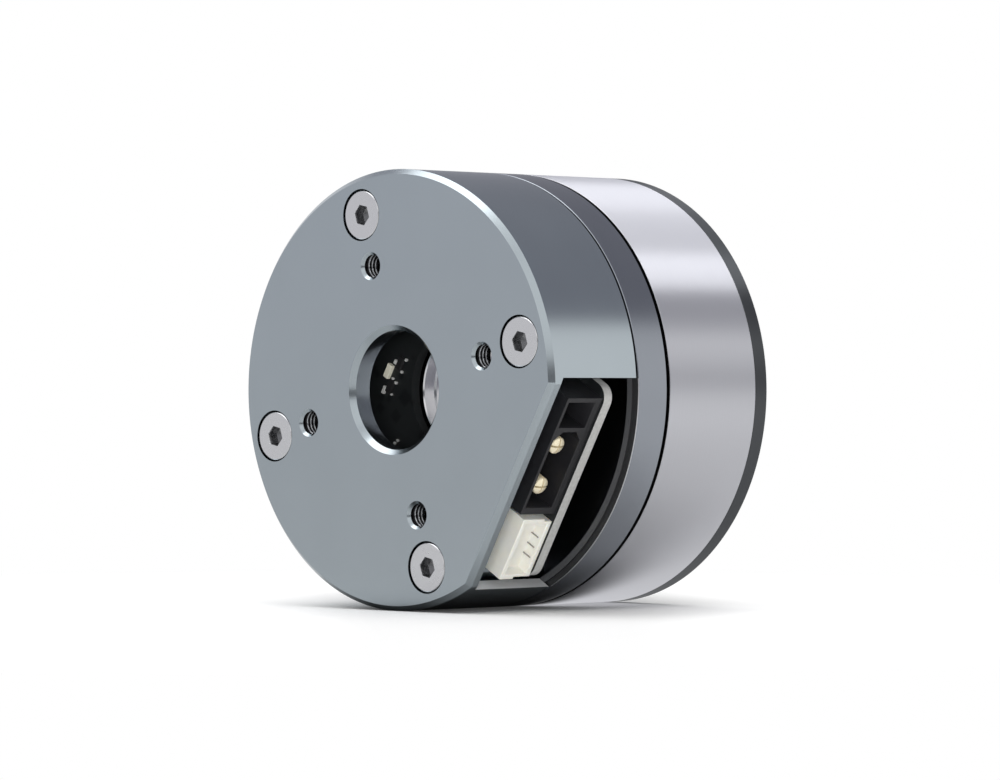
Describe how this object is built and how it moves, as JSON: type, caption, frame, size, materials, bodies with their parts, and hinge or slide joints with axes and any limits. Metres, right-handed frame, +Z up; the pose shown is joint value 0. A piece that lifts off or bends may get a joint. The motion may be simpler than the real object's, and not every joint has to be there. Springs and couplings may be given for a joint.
{
  "type": "gimbal motor",
  "caption": "Hollow-shaft brushless gimbal motor: a round case with a driver board behind a flat with sockets, and tapped mounting circles on both end faces.",
  "frame": {"origin": "on the motor axis, in the plane of the mounting face of the rear cover", "axes": "+Y along the motor axis from the mounting face to the output face, +Z up in the pictured pose, in which the motor lies on its round case, +X to the right seen from the mounting face"},
  "size_m": [0.048, 0.034, 0.048],
  "materials": {
    "cover_aluminium": "satin anodised grey, turned",
    "base_aluminium": "satin anodised grey, turned",
    "rotor_steel": "turned and bright plated",
    "end_aluminium": "satin anodised dark grey",
    "shaft_aluminium": "satin, turned",
    "screw_steel": "stainless, satin",
    "bearing_steel": "ground",
    "core_steel": "laminations with an insulating coat",
    "magnet_nickel": "nickel plated, dull",
    "ferrite": "bonded ferrite, dark grey",
    "copper": "enamelled copper wire",
    "board_laminate": "glass fibre board with a black mask",
    "socket_black": "black moulded plastic",
    "socket_white": "white moulded plastic",
    "gold_contact": "gold plated",
    "tin_contact": "tin plated",
    "chip_plastic": "moulded package",
    "capacitor_ceramic": "ceramic with tinned ends"
  },
  "bodies": {
    "stator": {"rear_cover": "cover_aluminium", "cover_screws": "screw_steel", "driver_board": "board_laminate", "board_screws": "screw_steel", "power_connector": "socket_black", "power_pins": "gold_contact", "signal_pins": "gold_contact", "serial_connector": "socket_white", "serial_contacts": "tin_contact", "bridge_chips": "chip_plastic", "controller_chip": "chip_plastic", "board_capacitors": "capacitor_ceramic", "angle_sensor": "chip_plastic", "stator_base": "base_aluminium", "phase_leads": "copper", "stator_core": "core_steel", "windings": "copper", "front_bearing_outer": "bearing_steel", "rear_bearing_outer": "bearing_steel"},
    "rotor": {"flux_ring": "rotor_steel", "rotor_magnets": "magnet_nickel", "end_plate": "end_aluminium", "hollow_shaft": "shaft_aluminium", "front_bearing_inner": "bearing_steel", "rear_bearing_inner": "bearing_steel", "preload_washer": "bearing_steel", "retaining_ring": "bearing_steel", "encoder_magnet": "ferrite"},
    "front_balls": {"front_ball_set": "bearing_steel"},
    "rear_balls": {"rear_ball_set": "bearing_steel"}
  },
  "joints": [
    {"name": "rotor_spin", "type": "hinge", "parent": "stator", "child": "rotor", "pos_m": [0, 0.01822, 0], "axis": [0, 1, 0], "continuous": true},
    {"name": "front_balls_orbit", "type": "hinge", "parent": "stator", "child": "front_balls", "pos_m": [0, 0.01822, 0], "axis": [0, 1, 0], "continuous": true},
    {"name": "rear_balls_orbit", "type": "hinge", "parent": "stator", "child": "rear_balls", "pos_m": [0, 0.02662, 0], "axis": [0, 1, 0], "continuous": true}
  ],
  "couplings": [
    {"joint": "front_balls_orbit", "follows": "rotor_spin", "ratio": 0.4282},
    {"joint": "rear_balls_orbit", "follows": "rotor_spin", "ratio": 0.4282}
  ]
}
